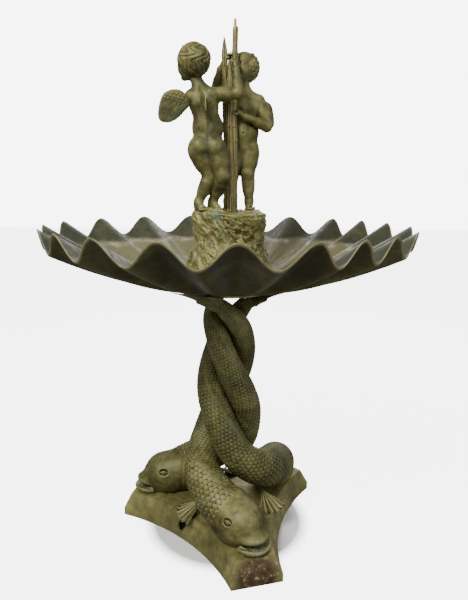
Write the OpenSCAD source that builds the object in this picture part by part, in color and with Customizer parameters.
// Garden fountain: three entwined dolphins on a three-footed plinth carry a
// fluted shell bowl, with two winged children and a bundle of reeds above it.
// Millimetres, +Z up. Origin on the ground, on the axis of the column.

/* [Plinth] */
// Distance from the axis to the end face of each foot
foot_reach = 387; // [340:1:470]
// Width of the end face of each foot
foot_w = 174; // [140:1:200]
// Distance from the axis to the middle of each hollowed side
waist_r = 208; // [175:1:225]
// Height of the plinth
plinth_h = 85; // [72:1:104]
// Height of the upright band below the sloping edge
band_h = 30; // [25:1:38]
// Width of the sloping edge, seen from above
bevel_w = 24; // [18:1:30]
// Thickness of the plinth casting
plinth_wall = 8; // [6:0.5:10]
// Turn of the front foot about the axis
foot_turn = 14.6; // [0:0.1:30]
// Diameter of the hose hole
hose_hole_d = 38; // [32:1:46]

/* [Dolphins] */
// Height of the seat of the bowl above the ground
bowl_seat_z = 885; // [737:1:1062]
// Thickest diameter of a dolphin's body inside the twist
body_d = 106; // [88:1:108]
// Width of a dolphin's head at its neck
head_w = 159; // [150:1:162]
// Wall of the hollow dolphin castings
dolphin_wall = 5; // [4:0.5:6]
// Thickness of a tail fluke at its middle
fluke_t = 20; // [16:1:24]

/* [Bowl] */
// Diameter over the rim
bowl_d = 1200; // [1000:1:1440]
// Rise of the bowl from its seat to the low points of the rim
bowl_rise = 148; // [123:1:178]
// Height of the rim waves
rim_wave = 68; // [50:1:88]
// Wall of the bowl
bowl_wall = 5; // [4:0.5:6.5]
/* [Rock and figures] */
// Height of the rock above the bowl's hub plate
rock_h = 272; // [226:1:326]
// Diameter of the rock at its widest
rock_d = 292; // [243:1:320]
// Width of the rock's top, where the figures stand
rock_top_d = 252; // [246:1:270]
// Standing height of each child
child_h = 520; // [433:1:624]

/* [Pipework] */
// Outside diameter of the riser tube
riser_d = 13; // [11:0.5:15]
// Outside diameter of the tubes to the mouths
mouth_tube_d = 12; // [10:0.5:14]
// Outside diameter of the jet pipe inside the reeds
jet_pipe_d = 12; // [10:0.5:14]
// Height of the pipe axis above the ground, under the plinth
pipe_z = 45; // [40:1:48]
// Bore of the hose socket
socket_bore_d = 21; // [18:0.5:24]

/* [Hidden] */

bronze = "#6b6a45";
dark_bronze = "#45452f";
copper_tube = "#9a6b4a";
brass_fitting = "#b09a5a";
steel_fixing = "#8a8d90";
rubber_seal = "#2b2b2b";

cut_extra = 2;                // how far a cutter runs past the face it cuts
fit_gap = 0.3;               // clearance between pieces that do not touch
hole_gap = 0.5;              // radial clearance of a bolt or tube in its hole
tube_wall = 1.2;

// ---- plinth plan ----
plinth_top = plinth_h - plinth_wall;
chord_m = foot_reach * cos(60) + foot_w / 2 * sin(60);
chord_n = foot_reach * sin(60) - foot_w / 2 * cos(60);
side_c = (chord_m * chord_m + chord_n * chord_n - waist_r * waist_r) / (2 * (chord_m - waist_r));
side_r = side_c - waist_r;
hose_dir = -90 + foot_turn - 68;
FEET = [for (k = [0:2]) -90 + foot_turn + 120 * k];
FRONT = 0;
RIGHT = 1;
LEFT = 2;

// ---- dolphins ----
column_h = bowl_seat_z - plinth_h;
body_r = body_d / 2;
head_r = head_w / 2;
reach_k = foot_reach / 387;
neck_at = 11;                // station where the body meets the head
mouth_at = 14;               // station of the mouth
body_sides = 16;
head_sides = 20;
// Rows of a fluke: distance from the axis, half-width over body radius
FLUKE = [[112, 0.75], [140, 1.25], [172, 1.75], [196, 1.85]];
fin_r = 72;
fin_t = 7;
fin_tilt = 32;
fin_spread = 50;
fin_root = 139;              // from the axis to the root of the fin
fin_behind = -60.5;          // the root's angle behind the foot
fin_way = -94.6;             // the way the fin points, from the foot
function up(part) = plinth_h + column_h * part;
function above(h) = plinth_h + h;
// Stations from the tail to the mouth: turn about the axis behind the foot,
// distance from the axis, height, half-width, half-height over half-width.
STATIONS = [
    [-404, 90 + body_r / 25, up(0.962), body_r * 0.43, 1],
    [-392, body_r * 1.19, up(0.938), body_r * 0.54, 1],
    [-359, body_r * 1.04, up(0.895), body_r * 0.65, 1],
    [-308, body_r * 0.98, up(0.820), body_r * 0.76, 1],
    [-267, body_r * 1.06, up(0.719), body_r * 0.85, 1],
    [-223, body_r * 1.16, up(0.594), body_r * 0.94, 1],
    [-173, body_r * 1.25, up(0.469), body_r * 1.01, 1],
    [-138, body_r * 1.36, up(0.358), body_r * 1.07, 1],
    [-111, body_r * 1.58, up(0.275), body_r * 1.12, 1],
    [-76, 106 * reach_k, above(164), body_r * 1.19, 1],
    [-36, 152 * reach_k, above(114), body_r * 1.34, 1],
    [-12, 212 * reach_k, above(74), head_r, 1],
    [-2, 272 * reach_k, above(53), head_r * 0.947, 0.92],
    [2, 322 * reach_k, above(34), head_r * 0.613, 0.78],
    [3, 350 * reach_k, above(27), head_r * 0.373, 0.5]];

// ---- bowl ----
bowl_r = bowl_d / 2;
hub_t = 8;
hub_top = bowl_seat_z + hub_t;
hub_r = 140;
flange_r = 124;              // inner edge of the bowl's flat flange
// Angles of the flutes' crests from the front, towards +X
FLUTES_AT = [-164, -144, -124, -103, -86, -68, -50, -34, -16, 2,
             21, 34, 47, 67, 89, 107, 121, 135, 154, 175];
bowl_sides = 180;
BOWL_RINGS = [hub_r, 205, 290, 375, 460, 540];

// ---- rock, reeds and figures ----
rock_top = hub_top + rock_h;
rock_wall = 6;
rock_r = rock_d / 2;
rock_top_r = rock_top_d / 2;
rock_z = hub_top + bowl_wall * (1 + 0.25 * hub_r / bowl_r);   // the rock stands on the bowl's flange
lug_t = 12;
group_x = 8;                 // the rock and reeds stand a little off the axis
stud_r = 4;
lug_angle = 60;              // the rock's lugs stand between the flukes
stud_at = 108;
fluke_bolt_at = 114;
fluke_bolt_turn = 10;
TAIL_AT = [for (a = FEET) a + STATIONS[0][0]];
reed_r = 10;
trunk_x = group_x + 1;
stalk_x = group_x + 9;
reed_h = 580;
tall_k = child_h / 520;
// Offsets of the reeds from the trunk's middle, with radius and share of the full height
REEDS = [[8, 0, 11, 1], [-3, 10, 10, 0.90], [-12, 1, 9, 0.955],
         [-4, -9, 10, 0.87], [5, -11, 8, 0.83], [6, 11, 9, 0.93]];

// ---- pipework ----
hub_body_r = 22;
mouth_tube_r = mouth_tube_d / 2;
riser_r = riser_d / 2;
jet_r = jet_pipe_d / 2;
mouth_rise_at = 257 * reach_k;   // where a mouth tube turns up
riser_rise_at = 208 * reach_k;   // where the riser turns up
bolt_r = 5;
BOLT_SPOTS = [[238 * reach_k, -12], [278 * reach_k, 2]];
mouth_rise_turn = -3;
riser_turn = -13;
nut_lift = 0.6;              // the cast floor inside a head is not quite flat
valve_from = hub_body_r + 18;
valve_l = 56;
valve_mid = valve_from + valve_l / 2;
valve_r = 19;
ball_r = 13;
ball_bore_r = 8;
stem_r = 4;
lever_z = 14;
lever_t = 4;
lever_l = 74;
socket_l = 34;

// ---- helpers ----
function unit(v) = v / norm(v);
function spline(a, b, c, d, f) =
    0.5 * (2 * b + (c - a) * f + (2 * a - 5 * b + 4 * c - d) * f * f + (3 * b - a - 3 * c + d) * f * f * f);
function station(t) =
    let (last = len(STATIONS) - 1, i = min(last - 1, floor(t)), f = t - i)
    spline(STATIONS[max(0, i - 1)], STATIONS[i], STATIONS[i + 1], STATIONS[min(last, i + 2)], f);
function at(rho, angle, z) = [rho * cos(angle), rho * sin(angle), z];
function body_point(k, t) = let (s = station(t)) at(s[1], FEET[k] + s[0], s[2]);
function heading(k, t) =
    let (h = 0.02) unit(body_point(k, min(mouth_at, t + h)) - body_point(k, max(0, t - h)));
// One cross-section, drawn in from the skin by inset and resting flat on the plinth.
function section(k, t, inset, sides) =
    let (s = station(t), c = body_point(k, t), d = heading(k, t),
         over = unit([0, 0, 1] - d[2] * d), side = cross(d, over), floor_z = plinth_h + inset)
    [for (j = [0:sides - 1])
        let (a = 360 * j / sides,
             p = c + (s[3] - inset) * cos(a) * side + (s[3] * s[4] - inset) * sin(a) * over)
        [p[0], p[1], max(p[2], floor_z)]];

// A skin over rings of points. A looped skin joins its last ring to its first.
module skin(rings, looped) {
    n = len(rings);
    m = len(rings[0]);
    spans = looped ? n : n - 1;
    walls = [for (i = [0:spans - 1]) for (j = [0:m - 1])
        let (a = i * m + j, b = i * m + (j + 1) % m,
             c = ((i + 1) % n) * m + (j + 1) % m, d = ((i + 1) % n) * m + j)
        each [[a, b, c], [a, c, d]]];
    ends = looped ? [] : [[for (j = [m - 1:-1:0]) j], [for (j = [0:m - 1]) (n - 1) * m + j]];
    polyhedron(points = [for (r = rings) each r], faces = concat(walls, ends), convexity = 8);
}

module hollow_strand(k, t0, t1, steps, sides) {
    outer = [for (i = [0:steps]) section(k, t0 + (t1 - t0) * i / steps, 0, sides)];
    inner = [for (i = [steps:-1:0]) section(k, t0 + (t1 - t0) * i / steps, dolphin_wall, sides)];
    skin(concat(outer, inner), true);
}

// Rings of a round tube along points, with no twist between them.
function side_at(points, i) =
    let (n = len(points), d = unit(points[min(n - 1, i + 1)] - points[max(0, i - 1)]))
    i == 0 ? unit(cross(d, [0.3, 0.5, 0.8])) : let (s = side_at(points, i - 1)) unit(s - (s * d) * d);
function tube_ring(points, i, r, sides) =
    let (n = len(points), d = unit(points[min(n - 1, i + 1)] - points[max(0, i - 1)]),
         s = side_at(points, i), v = cross(d, s))
    [for (j = [0:sides - 1]) points[i] + r * (cos(360 * j / sides) * s + sin(360 * j / sides) * v)];
module bent_tube(points, r_out, r_in, sides) {
    n = len(points);
    skin(concat([for (i = [0:n - 1]) tube_ring(points, i, r_out, sides)],
                [for (i = [n - 1:-1:0]) tube_ring(points, i, r_in, sides)]), true);
}

module rod(a, b, r) {
    v = b - a;
    l = norm(v);
    translate(a) rotate([0, acos(v[2] / l), atan2(v[1], v[0])]) cylinder(r = r, h = l, $fn = 32);
}

module hex(r, h) cylinder(r = r, h = h, $fn = 6);

// ---- plinth ----
module plinth_plan(inset) {
    difference() {
        polygon([for (a = FEET) for (s = [-1, 1])
            [(foot_reach - inset) * cos(a) - s * foot_w * sin(a),
             (foot_reach - inset) * sin(a) + s * foot_w * cos(a)]]);
        for (a = FEET) rotate(a + 60) translate([side_c, 0]) circle(r = side_r + inset, $fn = 180);
    }
}
module plinth_form(inset, top) {
    slope = bevel_w / (plinth_h - band_h);
    rise = plinth_h - band_h + cut_extra;
    difference() {
        linear_extrude(top) plinth_plan(inset);
        for (a = FEET) rotate(a + 60) translate([side_c, 0, band_h - cut_extra])
            cylinder(r1 = side_r + inset - slope * cut_extra, r2 = side_r + inset + slope * rise,
                     h = rise + cut_extra, $fn = 180);
        for (a = FEET) rotate(a) translate([foot_reach - inset, foot_w * 2, band_h]) rotate([90, 0, 0])
            linear_extrude(foot_w * 4) polygon([[slope * cut_extra, -cut_extra], [cut_extra * 2, -cut_extra],
                                                [cut_extra * 2, rise], [-slope * rise, rise]]);
    }
}
module plinth() {
    color(bronze)
    difference() {
        plinth_form(0, plinth_h);
        translate([0, 0, -1]) plinth_form(plinth_wall, plinth_top + 1);
        rotate(hose_dir) translate([waist_r * 0.7, 0, pipe_z]) rotate([0, 90, 0])
            cylinder(d = hose_hole_d, h = waist_r, $fn = 48);
        base_holes();
    }
}

// Holes through the plinth's top and the heads' flat undersides
module base_hole(rho, angle, r) {
    translate(at(rho, angle, plinth_top - 1))
        cylinder(r = r + hole_gap, h = plinth_wall + dolphin_wall + 3, $fn = 32);
}
module base_holes() {
    for (a = FEET) {
        base_hole(mouth_rise_at, a + mouth_rise_turn, mouth_tube_r);
        for (b = BOLT_SPOTS) base_hole(b[0], a + b[1], bolt_r);
    }
    base_hole(riser_rise_at, FEET[LEFT] + riser_turn, riser_r + 1);
}

module head_bolts() {
    color(steel_fixing)
    for (a = FEET) for (b = BOLT_SPOTS) translate(at(b[0], a + b[1], plinth_top)) {
        translate([0, 0, -6]) hex(9, 6);
        cylinder(r = bolt_r, h = plinth_wall + dolphin_wall + 14, $fn = 32);
    }
}

module head_nuts() {
    color(steel_fixing)
    for (a = FEET) for (b = BOLT_SPOTS) translate(at(b[0], a + b[1], plinth_h + dolphin_wall + nut_lift))
        difference() {
            hex(9, 8);
            translate([0, 0, -1]) cylinder(r = bolt_r + 0.02, h = 10, $fn = 32);
        }
}

// ---- dolphins ----
module dolphin_body(k) color(bronze) hollow_strand(k, 0, neck_at, 33, body_sides);

module dolphin_head(k) {
    color(bronze)
    difference() {
        hollow_strand(k, neck_at, mouth_at, 12, head_sides);
        base_holes();
    }
}

// A side fin that leans from the body down to the plinth
module dolphin_fin(k) {
    color(bronze)
    translate(at(fin_root * reach_k, FEET[k] + fin_behind, plinth_h + fin_r * sin(fin_tilt)))
        rotate(FEET[k] + fin_way) rotate([0, fin_tilt, 0]) linear_extrude(fin_t)
        polygon([[0, -12], for (a = [-fin_spread:10:fin_spread]) fin_r * [cos(a), sin(a)], [0, 12]]);
}

// Tail fluke: a flat fan that bears on the hub plate
function fluke_ring(k, row, thick) =
    let (a = FEET[k] + STATIONS[0][0], out = [cos(a), sin(a), 0],
         wide = [-sin(a), cos(a), 0], w = body_r * row[1],
         c = out * row[0] + [0, 0, bowl_seat_z - thick / 2])
    [for (j = [0:head_sides - 1]) let (b = 360 * j / head_sides)
        c + w * cos(b) * wide + thick / 2 * sin(b) * [0, 0, 1] - out * w * 0.12 * (1 - sin(b) * sin(b))];
module dolphin_fluke(k) {
    color(bronze)
    difference() {
        skin(concat([section(k, 0, 0, head_sides)],
            [for (i = [0:len(FLUKE) - 1]) fluke_ring(k, FLUKE[i], fluke_t * (1.3 - 0.25 * i))]), false);
        hub_holes();
        translate(RISER_UP + [0, 0, bowl_seat_z - 70]) cylinder(r = riser_r + 7, h = 80, $fn = 32);
    }
}

module dolphin_mouth_tube(k) {
    a = FEET[k] + mouth_rise_turn;
    low = at(mouth_rise_at, a, pipe_z);
    knee = at(mouth_rise_at, a, plinth_h + 34);
    tip = body_point(k, mouth_at - 0.7);
    color(copper_tube)
    difference() {
        union() {
            rod(at(hub_body_r + 0.3, a, pipe_z), low, mouth_tube_r);
            rod(low, knee, mouth_tube_r);
            rod(knee, tip, mouth_tube_r);
            for (p = [low, knee]) translate(p) sphere(r = mouth_tube_r + 0.4, $fn = 32);
        }
        rod(knee + 0.4 * (tip - knee), tip + (tip - knee) * 0.2, mouth_tube_r - tube_wall);
    }
}

// ---- bowl and its seat ----
function wrap(a) = a - 360 * floor((a + 180) / 360);
function crest(x, before, after) =
    let (w = x < 0 ? -x / before : x / after) w < 1 ? 0.5 + 0.5 * cos(180 * w) : 0;
function flute_wave(a) =
    let (n = len(FLUTES_AT))
    max([for (i = [0:n - 1]) crest(wrap(a + 90 - FLUTES_AT[i]),
        wrap(FLUTES_AT[i] - FLUTES_AT[(i + n - 1) % n]) / 2,
        wrap(FLUTES_AT[(i + 1) % n] - FLUTES_AT[i]) / 2)]);
function bowl_z(r, a) =
    r <= hub_r ? hub_top
    : hub_top + bowl_rise * (r * r - hub_r * hub_r) / (bowl_r * bowl_r - hub_r * hub_r)
      + rim_wave * pow((r - hub_r) / (bowl_r - hub_r), 1.3) * flute_wave(a);
function bowl_ring(r, lift) = [for (j = [0:bowl_sides - 1])
    let (a = 360 * j / bowl_sides) at(r, a, bowl_z(r, a) + lift)];
module bowl() {
    radii = concat([flange_r, hub_r], [for (i = [1:len(BOWL_RINGS) - 1])
        hub_r + (BOWL_RINGS[i] - hub_r) * (bowl_r - hub_r) / (600 - hub_r)], [bowl_r]);
    last = len(radii) - 1;
    color(bronze)
    skin(concat([for (i = [0:last]) bowl_ring(radii[i], 0)],
                [for (i = [last:-1:0])
                    bowl_ring(radii[i], bowl_wall * (1 + 0.25 * radii[i] / bowl_r))]), true);
}

RISER_UP = at(98, TAIL_AT[LEFT], 0);
module hub_holes() {
    translate(RISER_UP + [0, 0, bowl_seat_z - 40]) cylinder(r = riser_r + hole_gap, h = 60, $fn = 32);
    for (a = TAIL_AT) {
        for (s = [-1, 1]) translate(at(fluke_bolt_at, a + s * fluke_bolt_turn, bowl_seat_z - 16))
            cylinder(r = bolt_r + hole_gap, h = 40, $fn = 32);
        translate(at(stud_at, a + lug_angle, bowl_seat_z - 16))
            cylinder(r = stud_r + hole_gap, h = 40, $fn = 32);
    }
}

module hub_plate() {
    color(dark_bronze)
    difference() {
        translate([0, 0, bowl_seat_z]) cylinder(r = hub_r, h = hub_t, $fn = 120);
        hub_holes();
    }
}

module hub_bolts() {
    color(steel_fixing)
    for (a = TAIL_AT) for (s = [-1, 1]) translate(at(fluke_bolt_at, a + s * fluke_bolt_turn, hub_top)) {
        hex(8, 5);
        translate([0, 0, -hub_t - 12]) cylinder(r = bolt_r, h = hub_t + 12, $fn = 32);
    }
}

module riser_gasket() {
    color(rubber_seal)
    translate(RISER_UP + [0, 0, hub_top]) difference() {
        cylinder(r = riser_r + 7, h = 3, $fn = 48);
        translate([0, 0, -1]) cylinder(r = riser_r + 0.1, h = 5, $fn = 48);
    }
}

module riser_locknut() {
    color(brass_fitting)
    translate(RISER_UP + [0, 0, hub_top + 3]) difference() {
        hex(riser_r + 7, 9);
        translate([0, 0, -1]) cylinder(r = riser_r + 0.1, h = 11, $fn = 48);
    }
}

// ---- supply under the plinth ----
module manifold() {
    color(brass_fitting)
    difference() {
        union() {
            translate([0, 0, pipe_z - 14]) cylinder(r = hub_body_r, h = 28, $fn = 64);
            rotate(hose_dir) translate([0, 0, pipe_z]) rotate([0, 90, 0])
                cylinder(r = 11, h = valve_from, $fn = 48);
        }
        translate([0, 0, pipe_z - 10]) cylinder(r = hub_body_r - 4, h = 20, $fn = 64);
        rotate(hose_dir) translate([hub_body_r - 8, 0, pipe_z]) rotate([0, 90, 0])
            cylinder(r = ball_bore_r, h = valve_from, $fn = 48);
    }
}

module valve_body() {
    color(brass_fitting)
    rotate(hose_dir) translate([valve_from, 0, pipe_z]) difference() {
        union() {
            rotate([0, 90, 0]) cylinder(r = valve_r, h = valve_l, $fn = 64);
            translate([valve_l / 2, 0, lever_z + lever_t + 1 - pipe_z])
                cylinder(r = stem_r + 4, h = pipe_z - lever_z - lever_t - 1, $fn = 48);
        }
        translate([-1, 0, 0]) rotate([0, 90, 0]) cylinder(r = ball_bore_r, h = valve_l + 2, $fn = 48);
        translate([valve_l / 2 - ball_r - 2, 0, 0]) rotate([0, 90, 0])
            cylinder(r = ball_r + 0.5, h = 2 * ball_r + 4, $fn = 64);
        translate([valve_l / 2, 0, -pipe_z]) cylinder(r = stem_r + 0.4, h = pipe_z, $fn = 48);
    }
}

// Two ring seats, one each side of the ball
module valve_seats() {
    color("white")
    rotate(hose_dir) translate([valve_mid, 0, pipe_z]) for (s = [0, 180]) rotate(s)
        difference() {
            translate([-ball_r - 2, 0, 0]) rotate([0, 90, 0]) cylinder(r = ball_r + 0.4, h = 5, $fn = 64);
            translate([-ball_r - 3, 0, 0]) rotate([0, 90, 0]) cylinder(r = ball_bore_r, h = 8, $fn = 48);
            sphere(r = ball_r + fit_gap, $fn = 64);
        }
}

module valve_ball() {
    color("silver")
    rotate(hose_dir) translate([valve_mid, 0, pipe_z]) difference() {
        sphere(r = ball_r, $fn = 64);
        translate([-ball_r - 1, 0, 0]) rotate([0, 90, 0])
            cylinder(r = ball_bore_r, h = 2 * ball_r + 2, $fn = 48);
        translate([0, 0, -ball_r - 1]) cylinder(r = stem_r, h = 5, $fn = 32);
    }
}

module valve_stem() {
    color("silver")
    rotate(hose_dir) translate([valve_mid, 0, lever_z - 8])
        cylinder(r = stem_r, h = pipe_z - ball_r + 4 - lever_z + 8, $fn = 32);
}

module valve_lever() {
    color("firebrick")
    rotate(hose_dir) translate([valve_mid, 0, lever_z]) difference() {
        union() {
            cylinder(r = 10, h = lever_t, $fn = 48);
            translate([0, -6, 0]) cube([lever_l - 6, 12, lever_t]);
            translate([lever_l - 6, 0, 0]) cylinder(r = 6, h = lever_t, $fn = 32);
        }
        translate([0, 0, -1]) cylinder(r = stem_r, h = lever_t + 2, $fn = 32);
    }
}

module lever_nut() {
    color(steel_fixing)
    rotate(hose_dir) translate([valve_mid, 0, lever_z - 5]) difference() {
        hex(8, 5);
        translate([0, 0, -1]) cylinder(r = stem_r, h = 7, $fn = 32);
    }
}

module hose_socket() {
    color(brass_fitting)
    rotate(hose_dir) translate([valve_from + valve_l, 0, pipe_z]) rotate([0, 90, 0]) difference() {
        cylinder(d = socket_bore_d + 10, h = socket_l, $fn = 64);
        translate([0, 0, -1]) cylinder(r = ball_bore_r, h = socket_l, $fn = 48);
        translate([0, 0, socket_l - 22]) cylinder(d = socket_bore_d, h = 23, $fn = 64);
    }
}

// The riser leaves the manifold, enters the left dolphin's head and climbs inside its body
module riser_tube() {
    knee = at(riser_rise_at, FEET[LEFT] + riser_turn, pipe_z + 14);
    points = concat(
        [for (out = [0.8, 12]) at(hub_body_r + out, FEET[LEFT] - 60, pipe_z)],
        [for (i = [1:3]) at(hub_body_r + 0.8 + i / 3 * (riser_rise_at - hub_body_r - 36),
            FEET[LEFT] - 18 - 42 * pow(1 - i / 3, 2), pipe_z)],
        [knee - [0, 0, 6], knee + [0, 0, 20], knee + [0, 0, 60]],
        [for (t = [10.4:-0.5:0.6]) body_point(LEFT, t)],
        [for (z = [bowl_seat_z - 12, bowl_seat_z + 20, bowl_seat_z + 55]) RISER_UP + [0, 0, z]],
        [for (i = [1:5]) RISER_UP * (1 - i / 5) + [stalk_x, 0, 0] * i / 5
            + [0, 0, hub_top + 60 + (rock_h - 110) * i / 5]],
        [[stalk_x, 0, rock_top - 30]]);
    color(copper_tube) bent_tube(points, riser_r, riser_r - tube_wall, 8);
}

// ---- rock ----
module rock() {
    color(bronze)
    difference() {
        union() {
            translate([0, 0, rock_z]) difference() {
                rock_form(0);
                rock_form(rock_wall);
            }
            for (a = TAIL_AT) rotate(a + lug_angle)
                translate([stud_at - 11, -12, rock_z]) cube([hub_r - rock_wall - stud_at + 12, 24, lug_t]);
        }
        for (a = TAIL_AT) translate(at(stud_at, a + lug_angle, hub_top))
            cylinder(r = stud_r + hole_gap, h = 40, $fn = 32);
        translate([stalk_x, 0, rock_top - rock_wall - 20]) cylinder(r = jet_r + hole_gap, h = 40, $fn = 32);
        foot_holes();
    }
}
module rock_form(inset) {
    h = rock_top - rock_z;
    floor_z = inset > 0 ? -1 : 0;
    rotate_extrude($fn = 96)
        polygon([[0, floor_z], [hub_r - 1 - inset, floor_z], [rock_r - inset, h * 0.1],
                 [rock_r * 0.9 - inset, h * 0.42], [rock_r * 0.8 - inset, h * 0.56],
                 [rock_r * 0.82 - inset, h * 0.66], [rock_top_r * 1.063 - inset, h * 0.75],
                 [rock_top_r * 1.055 - inset, h * 0.9], [rock_top_r - inset, h - inset], [0, h - inset]]);
}

module rock_studs() {
    color(steel_fixing)
    for (a = TAIL_AT) translate(at(stud_at, a + lug_angle, bowl_seat_z - 10))
        cylinder(r = stud_r, h = rock_z + lug_t - bowl_seat_z + 20, $fn = 32);
}

module rock_stud_nuts() {
    color(steel_fixing)
    for (a = TAIL_AT) for (z = [bowl_seat_z - 6, rock_z + lug_t]) translate(at(stud_at, a + lug_angle, z))
        difference() {
            hex(7.5, 6);
            translate([0, 0, -1]) cylinder(r = stud_r + 0.02, h = 8, $fn = 32);
        }
}

// ---- reeds and jet ----
module reed_bundle() {
    color(bronze)
    translate([trunk_x, 0, rock_top]) difference() {
        for (reed = REEDS) translate([reed[0], reed[1], 0]) {
            h = reed_h * tall_k * reed[3];
            if (reed[3] == 1) cylinder(r = reed[2], h = h, $fn = 48);
            else {
                cylinder(r = reed[2], h = h - 46, $fn = 48);
                translate([0, 0, h - 46]) cylinder(r1 = reed[2], r2 = 1.5, h = 46, $fn = 48);
            }
        }
        translate([REEDS[0][0], 0, -1]) cylinder(r = jet_r + hole_gap, h = reed_h * tall_k + 2, $fn = 32);
    }
}

module jet_pipe() {
    color(copper_tube)
    translate([stalk_x, 0, rock_top - 30]) difference() {
        cylinder(r = jet_r, h = reed_h * tall_k + 18, $fn = 32);
        translate([0, 0, -1]) cylinder(r = jet_r - tube_wall, h = reed_h * tall_k + 20, $fn = 32);
    }
}

module jet_nozzle() {
    color(brass_fitting)
    translate([stalk_x, 0, rock_top - 12 + reed_h * tall_k]) difference() {
        union() {
            cylinder(r = jet_r, h = 8, $fn = 32);
            translate([0, 0, 8]) cylinder(r1 = jet_r, r2 = 4, h = 28, $fn = 32);
        }
        translate([0, 0, -1]) cylinder(r = 2.5, h = 50, $fn = 32);
    }
}

// ---- figures ----
// Joints of each child from the middle of the rock's top, for a child 520 high, with radii
LEFT_CHILD = [
    ["head", [-109, -50, 460], 52], ["nape", [-96, -50, 410], 26], ["neck", [-90, -50, 385], 20],
    ["shoulder_l", [-122, -62, 362], 21], ["shoulder_r", [-46, -52, 364], 21],
    ["chest", [-84, -52, 345], 36],
    ["waist", [-62, -55, 276], 36], ["seat_l", [-84, -66, 208], 34], ["seat_r", [-46, -64, 208], 34],
    ["knee_l", [-72, -76, 108], 22], ["ankle_l", [-102, -58, 30], 14], ["toe_l", [-84, -84, 11], 10],
    ["heel_l", [-106, -50, 12], 12],
    ["knee_r", [-14, -50, 108], 22], ["ankle_r", [-50, -30, 32], 14], ["toe_r", [-26, -52, 11], 10],
    ["heel_r", [-54, -24, 12], 12],
    ["elbow_r", [42, -62, 366], 15], ["wrist_r", [26, -40, 440], 11], ["hand_r", [22, -34, 462], 13],
    ["elbow_l", [-80, 22, 350], 15], ["wrist_l", [-26, 18, 392], 11], ["hand_l", [-20, 4, 400], 12]];
RIGHT_CHILD = [
    ["head", [64, 56, 460], 50], ["nape", [64, 58, 412], 26], ["neck", [66, 58, 386], 20],
    ["shoulder_l", [120, 58, 362], 21], ["shoulder_r", [28, 56, 364], 20], ["chest", [72, 56, 342], 37],
    ["waist", [70, 56, 276], 36], ["seat_l", [88, 60, 205], 34], ["seat_r", [50, 60, 205], 34],
    ["knee_l", [74, 42, 116], 22], ["ankle_l", [80, 54, 30], 14], ["toe_l", [78, 18, 11], 11],
    ["heel_l", [82, 62, 12], 12],
    ["knee_r", [22, 46, 108], 22], ["ankle_r", [12, 62, 30], 14], ["toe_r", [8, 30, 11], 10],
    ["heel_r", [14, 70, 12], 12],
    ["elbow_l", [130, 30, 262], 15], ["wrist_l", [58, -10, 304], 11], ["hand_l", [40, -14, 310], 12],
    ["elbow_r", [-24, 54, 400], 15], ["wrist_r", [-28, 30, 470], 11], ["hand_r", [-20, 16, 494], 12]];
BONES = [["head", "nape"], ["nape", "neck"], ["neck", "shoulder_l"], ["neck", "shoulder_r"],
    ["shoulder_l", "shoulder_r"], ["neck", "chest"], ["chest", "shoulder_l"], ["chest", "shoulder_r"],
    ["chest", "waist"], ["waist", "seat_l"], ["waist", "seat_r"], ["seat_l", "seat_r"],
    ["seat_l", "knee_l"], ["seat_r", "knee_r"], ["knee_l", "ankle_l"], ["knee_r", "ankle_r"],
    ["ankle_l", "heel_l"], ["ankle_r", "heel_r"], ["heel_l", "toe_l"], ["heel_r", "toe_r"],
    ["shoulder_l", "elbow_l"], ["shoulder_r", "elbow_r"], ["elbow_l", "wrist_l"],
    ["elbow_r", "wrist_r"], ["wrist_l", "hand_l"], ["wrist_r", "hand_r"]];
function joint(child, name) = child[search([name], child)[0]];
module ball_at(j) translate(j[1]) sphere(r = j[2], $fn = 14);
module child_form(child) {
    difference() {
        translate([group_x, 0, rock_top]) scale(tall_k) for (b = BONES) hull() {
            ball_at(joint(child, b[0]));
            ball_at(joint(child, b[1]));
        }
        translate([-bowl_r, -bowl_r, rock_top - 100]) cube([bowl_d, bowl_d, 100]);
        foot_holes();
        translate([trunk_x, 0, rock_top]) for (reed = REEDS) translate([reed[0], reed[1], 0])
            cylinder(r = reed[2] + fit_gap, h = reed_h * tall_k * 1.1, $fn = 24);
    }
}
module child_left() color(bronze) child_form(LEFT_CHILD);
module child_right() color(bronze) child_form(RIGHT_CHILD);

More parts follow.
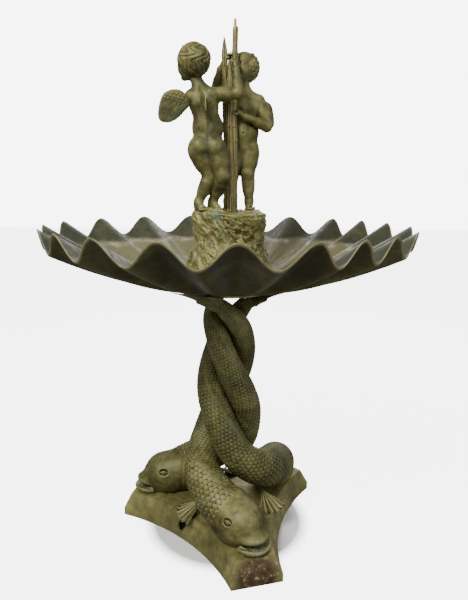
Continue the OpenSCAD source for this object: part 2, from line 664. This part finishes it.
function soles(child) = [for (s = ["_l", "_r"])
    let (h = joint(child, str("heel", s))[1], t = joint(child, str("toe", s))[1])
    tall_k * [(h[0] + t[0]) / 2, (h[1] + t[1]) / 2, 0]];
FOOT_SPOTS = concat(soles(LEFT_CHILD), soles(RIGHT_CHILD));
module foot_holes() {
    for (p = FOOT_SPOTS) translate([group_x, 0, rock_top - 14] + p)
        cylinder(r = stud_r + hole_gap, h = 26, $fn = 32);
}
module foot_studs() {
    color(steel_fixing)
    for (p = FOOT_SPOTS) translate([group_x, 0, rock_top - 22] + p) cylinder(r = stud_r, h = 32, $fn = 32);
}
module foot_stud_nuts() {
    color(steel_fixing)
    for (p = FOOT_SPOTS) translate([group_x, 0, rock_top - rock_wall - 6] + p) difference() {
        hex(7.5, 6);
        translate([0, 0, -1]) cylinder(r = stud_r + 0.02, h = 8, $fn = 32);
    }
}

// A feathered wing as a plate: height, sweep and thickness
module wing(at_point, turn, lean) {
    translate([group_x, 0, rock_top] + tall_k * at_point)
        rotate([0, 0, turn]) rotate([0, lean, 0]) scale(tall_k)
        rotate([90, 0, 0]) linear_extrude(8)
        polygon([[0, -6], [8, 14], [26, 30], [48, 28], [66, 8], [78, -22], [80, -50],
                 [70, -66], [48, -62], [28, -48],
                 [10, -30]]);
}
module child_left_wings() {
    color(bronze) {
        wing([-104, -90, 340], 192, 0);
        wing([-66, -88.5, 338], 262, 0);
    }
}
module child_right_wings() {
    color(bronze) {
        wing([92, 90, 340], 40, 0);
        wing([58, 90, 340], 120, 0);
    }
}

plinth();
head_bolts();
head_nuts();
dolphin_body(FRONT);  // dolphin_front_body
dolphin_head(FRONT);  // dolphin_front_head
dolphin_fin(FRONT);  // dolphin_front_fin
dolphin_fluke(FRONT);  // dolphin_front_fluke
dolphin_mouth_tube(FRONT);  // dolphin_front_mouth_tube
dolphin_body(RIGHT);  // dolphin_right_body
dolphin_head(RIGHT);  // dolphin_right_head
dolphin_fin(RIGHT);  // dolphin_right_fin
dolphin_fluke(RIGHT);  // dolphin_right_fluke
dolphin_mouth_tube(RIGHT);  // dolphin_right_mouth_tube
dolphin_body(LEFT);  // dolphin_left_body
dolphin_head(LEFT);  // dolphin_left_head
dolphin_fin(LEFT);  // dolphin_left_fin
dolphin_fluke(LEFT);  // dolphin_left_fluke
dolphin_mouth_tube(LEFT);  // dolphin_left_mouth_tube
manifold();
hose_socket();
valve_body();
valve_seats();
valve_ball();
valve_stem();
valve_lever();
lever_nut();
riser_tube();
hub_plate();
hub_bolts();
riser_gasket();
riser_locknut();
bowl();
rock();
rock_studs();
rock_stud_nuts();
reed_bundle();
jet_pipe();
jet_nozzle();
child_left();
child_left_wings();
child_right();
child_right_wings();
foot_studs();
foot_stud_nuts();
